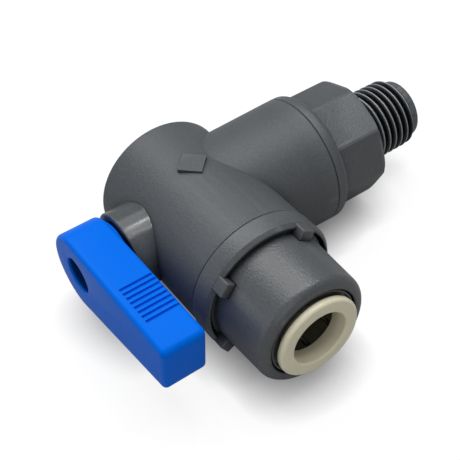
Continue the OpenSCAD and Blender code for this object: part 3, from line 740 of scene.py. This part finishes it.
def collet():
    """Ivory collet: rounded rim, soft inner edge, tapering mouth and slotted fingers."""
    piece = turned("release_collet", [
        (5.15, 29.15), (6.3, 29.15), (6.9, 29.65), (6.9, 30.35), (6.3, 32.35), (6.3, RIM_BACK),
        *arc(RIM_R - 0.5, RIM_BACK + 0.5, 0.5, -90, 0, 6),
        *arc(RIM_R - 0.62, COLLET_FRONT - 0.62, 0.62, 0, 88, 8),
        *arc(5.3 + 0.42, COLLET_FRONT - 0.42, 0.42, 90, 175, 7),
        (4.87, 34.12), (4.85, 34.05), (5.15, 33.9), (5.15, 29.15)
    ], OUTLET)
    for i in range(FINGERS):
        clear_selection()
        bpy.ops.mesh.primitive_cube_add(size=MM, location=at(31.4, 0, 6))
        slit = bpy.context.object
        slit.name = "finger_slit"
        edited(bpy.ops.transform.resize, value=SLIT_SIZE, center_override=slit.location)
        edited(bpy.ops.transform.rotate, value=math.radians(360 * i / FINGERS), orient_axis="X",
               center_override=CROSSING)
        bpy.ops.object.transform_apply(location=True, rotation=True, scale=True)
        combined(piece, slit, "DIFFERENCE")
    finished(piece, "collet", "collet")


# Lever, drawn as seen from the outer side and given its width

LEVER_OUT = -25.1
LEVER_W = 8.3
EDGE = 0.9
HOLE_R = 3.5
HOLE_FLOOR = -20.3
HOLE_ROUND = 0.3
SLEEVE_R = 6.4
STEM_ROOM_R = 3.3
SCREW_ROOM_R = 1.7
SQUARE_HALF = 2.15
SQUARE_OUT = -19.3
SQUARE_DEPTH = 3.2
GRIP_COUNT = 8
GRIP_START = 13.6
GRIP_STEP = 1.2
TOP_Z = 7.1
TOP_SLOPE = 0.0223
HUB = (-0.9, -0.6, 7.7)
TIP_TOP = (28.3, 6.45, 1.3)
TIP_LOW = (27.3, -1.75, 1.3)


def belt(circles, parts):
    """Points round a belt over circles (x, z, radius) that are given anticlockwise."""
    points = []
    count = len(circles)

    def leave(one, two):
        """Angle at which the outer tangent leaves the first circle for the second."""
        gap = (two[0] - one[0], two[1] - one[1])
        return math.atan2(gap[1], gap[0]) - math.acos((one[2] - two[2]) / math.hypot(*gap))

    for i, (x, z, radius) in enumerate(circles):
        start = leave(circles[i - 1], circles[i])
        end = leave(circles[i], circles[(i + 1) % count])
        while end < start:
            end += 2 * math.pi
        steps = parts if radius < 3 else parts * 4
        for j in range(steps + 1):
            turn = start + (end - start) * j / steps
            points.append((x + radius * math.cos(turn), z + radius * math.sin(turn)))
    return points


def slab(name, outline, out, width):
    """A flat face drawn in the lever's plane and given its width inwards."""
    piece = drawn(name, [(x, out, z) for x, z in outline + outline[:1]])
    bpy.ops.mesh.remove_doubles(threshold=DOUBLES)
    bpy.ops.mesh.edge_face_add()
    bpy.ops.mesh.extrude_region_move(TRANSFORM_OT_translate={"value": (0, width * MM, 0)})
    closed_shell()
    return piece


def lever():
    """Blue lever with rounded edges, screw hole, sleeve, square socket and ribbed grip."""
    piece = slab("lever_moulding", belt([HUB, TIP_LOW, TIP_TOP], 10), LEVER_OUT, LEVER_W)
    applied(piece, "BEVEL", width=EDGE * MM, segments=7, limit_method="ANGLE",
            angle_limit=math.radians(60), use_clamp_overlap=False)
    stem = (0, -1, 0)
    sleeve = turned("lever_sleeve", [
        (0, 16.4), (SLEEVE_R - 0.1, 16.4), (SLEEVE_R, 16.5), (SLEEVE_R, 18), (0, 18)
    ], stem, 96)
    combined(piece, sleeve, "UNION")
    rooms = turned("screw_hole", [
        (0, 16), (STEM_ROOM_R, 16), (STEM_ROOM_R, 16.5), (SCREW_ROOM_R, 16.5),
        (SCREW_ROOM_R, -HOLE_FLOOR), (HOLE_R, -HOLE_FLOOR), (HOLE_R, -LEVER_OUT - HOLE_ROUND),
        *arc(HOLE_R + HOLE_ROUND, -LEVER_OUT - HOLE_ROUND, HOLE_ROUND, 180, 90, 5)[1:],
        (HOLE_R + HOLE_ROUND, -LEVER_OUT + 1), (0, -LEVER_OUT + 1)
    ], stem, 96)
    half = SQUARE_HALF
    socket = slab("square_room", [(-half, -half), (half, -half), (half, half), (-half, half)],
                  SQUARE_OUT, SQUARE_DEPTH)
    combined(rooms, socket, "UNION")
    combined(piece, rooms, "DIFFERENCE")
    for i in range(GRIP_COUNT):
        start = GRIP_START + GRIP_STEP * i
        top = TOP_Z + TOP_SLOPE * (start - HUB[0])
        groove = slab("grip_groove", [
            (start - 0.02, top + 1), (start, top - 0.36), (start + 0.1, top - 0.4),
            (start + 0.3, top - 0.36), (start + 0.62, top - 0.05), (start + 0.7, top + 1)
        ], LEVER_OUT + 1.6, LEVER_W)
        combined(piece, groove, "DIFFERENCE")
    finished(piece, "lever", "handle")


inlet_adaptor()
outlet_adaptor()
outlet_cap()
cartridge()
collet()
lever()


# Floor, lamps and camera

def floor():
    """Plain white floor that keeps the object's shadow, with a painted contact shadow that dims its glow near the
    object.
    """
    bpy.ops.mesh.primitive_plane_add(size=FLOOR_SIZE, location=(0, 0, 0))
    plane = bpy.context.object
    plane.name = "floor"
    material = bpy.data.materials.new("Floor")
    material.use_nodes = True
    tree = material.node_tree
    tree.nodes.clear()
    out = node_of(tree, "ShaderNodeOutputMaterial", (600, 0))
    bounce = node_of(tree, "ShaderNodeBsdfDiffuse", (0, 200))
    bounce.inputs["Color"].default_value = (FLOOR_BOUNCE, FLOOR_BOUNCE, FLOOR_BOUNCE, 1)
    shade = node_of(tree, "ShaderNodeBsdfDiffuse", (0, 0))
    shade.inputs["Color"].default_value = (FLOOR_SHADE, FLOOR_SHADE, FLOOR_SHADE, 1)
    # Painted contact shadow: the glow dims where the object occludes the floor
    near = node_of(tree, "ShaderNodeAmbientOcclusion", (-600, -200),
                   samples=CONTACT_SHADOW_SAMPLES)
    near.inputs["Distance"].default_value = CONTACT_SHADOW_REACH * MM
    contact_shadow_falloff = node_of(tree, "ShaderNodeMath", (-400, -200), operation="POWER")
    tree.links.new(near.outputs["AO"], contact_shadow_falloff.inputs[0])
    contact_shadow_falloff.inputs[1].default_value = CONTACT_SHADOW_POWER
    strength = node_of(tree, "ShaderNodeMath", (-200, -200), operation="MULTIPLY")
    tree.links.new(contact_shadow_falloff.outputs[0], strength.inputs[0])
    strength.inputs[1].default_value = FLOOR_GLOW
    glow = node_of(tree, "ShaderNodeEmission", (0, -200))
    tree.links.new(strength.outputs[0], glow.inputs["Strength"])
    white = node_of(tree, "ShaderNodeAddShader", (200, -100))
    tree.links.new(shade.outputs[0], white.inputs[0])
    tree.links.new(glow.outputs[0], white.inputs[1])
    ray = node_of(tree, "ShaderNodeLightPath", (-400, 400))
    seen = ray.outputs["Is Camera Ray"]
    pick = node_of(tree, "ShaderNodeMixShader", (400, 0))
    tree.links.new(seen, pick.inputs[0])
    tree.links.new(bounce.outputs[0], pick.inputs[1])
    tree.links.new(white.outputs[0], pick.inputs[2])
    tree.links.new(pick.outputs[0], out.inputs["Surface"])
    plane.data.materials.append(material)


def lamps():
    """Soft studio lamps and a pale world."""
    for name, (place, aim, size, strength) in LAMPS.items():
        data = bpy.data.lights.new(name, "AREA")
        data.shape = "SQUARE"
        data.size = size * MM
        data.energy = strength
        lamp = bpy.data.objects.new(name, data)
        lamp.location = at(*place)
        away = lamp.location - at(*aim)
        lamp.rotation_euler = away.to_track_quat("Z", "Y").to_euler()
        bpy.context.scene.collection.objects.link(lamp)
    world = bpy.data.worlds.new("Studio")
    bpy.context.scene.world = world
    world.use_nodes = True
    tree = world.node_tree
    background = tree.nodes["Background"]
    background.inputs["Color"].default_value = (1, 1, 1, 1)
    ray = node_of(tree, "ShaderNodeLightPath", (-600, 0))
    strength = node_of(tree, "ShaderNodeMapRange", (-300, 0))
    strength.inputs["To Min"].default_value = WORLD_LIGHT
    strength.inputs["To Max"].default_value = 1.0
    tree.links.new(ray.outputs["Is Camera Ray"], strength.inputs["Value"])
    tree.links.new(strength.outputs["Result"], background.inputs["Strength"])


def camera():
    """Camera at the photograph's place, turned by azimuth, elevation and roll."""
    azimuth, elevation, roll = (
        math.radians(a) for a in (CAMERA_AZIMUTH, CAMERA_ELEVATION, CAMERA_ROLL)
    )
    back = Vector((math.sin(azimuth) * math.cos(elevation),
                   -math.cos(azimuth) * math.cos(elevation), math.sin(elevation)))
    right = Vector((math.cos(azimuth), math.sin(azimuth), 0))
    up = back.cross(right)
    turned_right = right * math.cos(roll) + up * math.sin(roll)
    turned_up = up * math.cos(roll) - right * math.sin(roll)
    data = bpy.data.cameras.new("camera")
    data.lens = CAMERA_LENS
    data.sensor_width = SENSOR_WIDTH
    data.clip_start = 1 * MM
    eye = bpy.data.objects.new("camera", data)
    turn = Matrix((turned_right, turned_up, back)).transposed().to_4x4()
    eye.matrix_world = Matrix.Translation(CROSSING + Vector(CAMERA_PLACE) * MM) @ turn
    bpy.context.scene.collection.objects.link(eye)
    bpy.context.scene.camera = eye


floor()
lamps()
camera()
bpy.context.scene.view_settings.view_transform = "Standard"
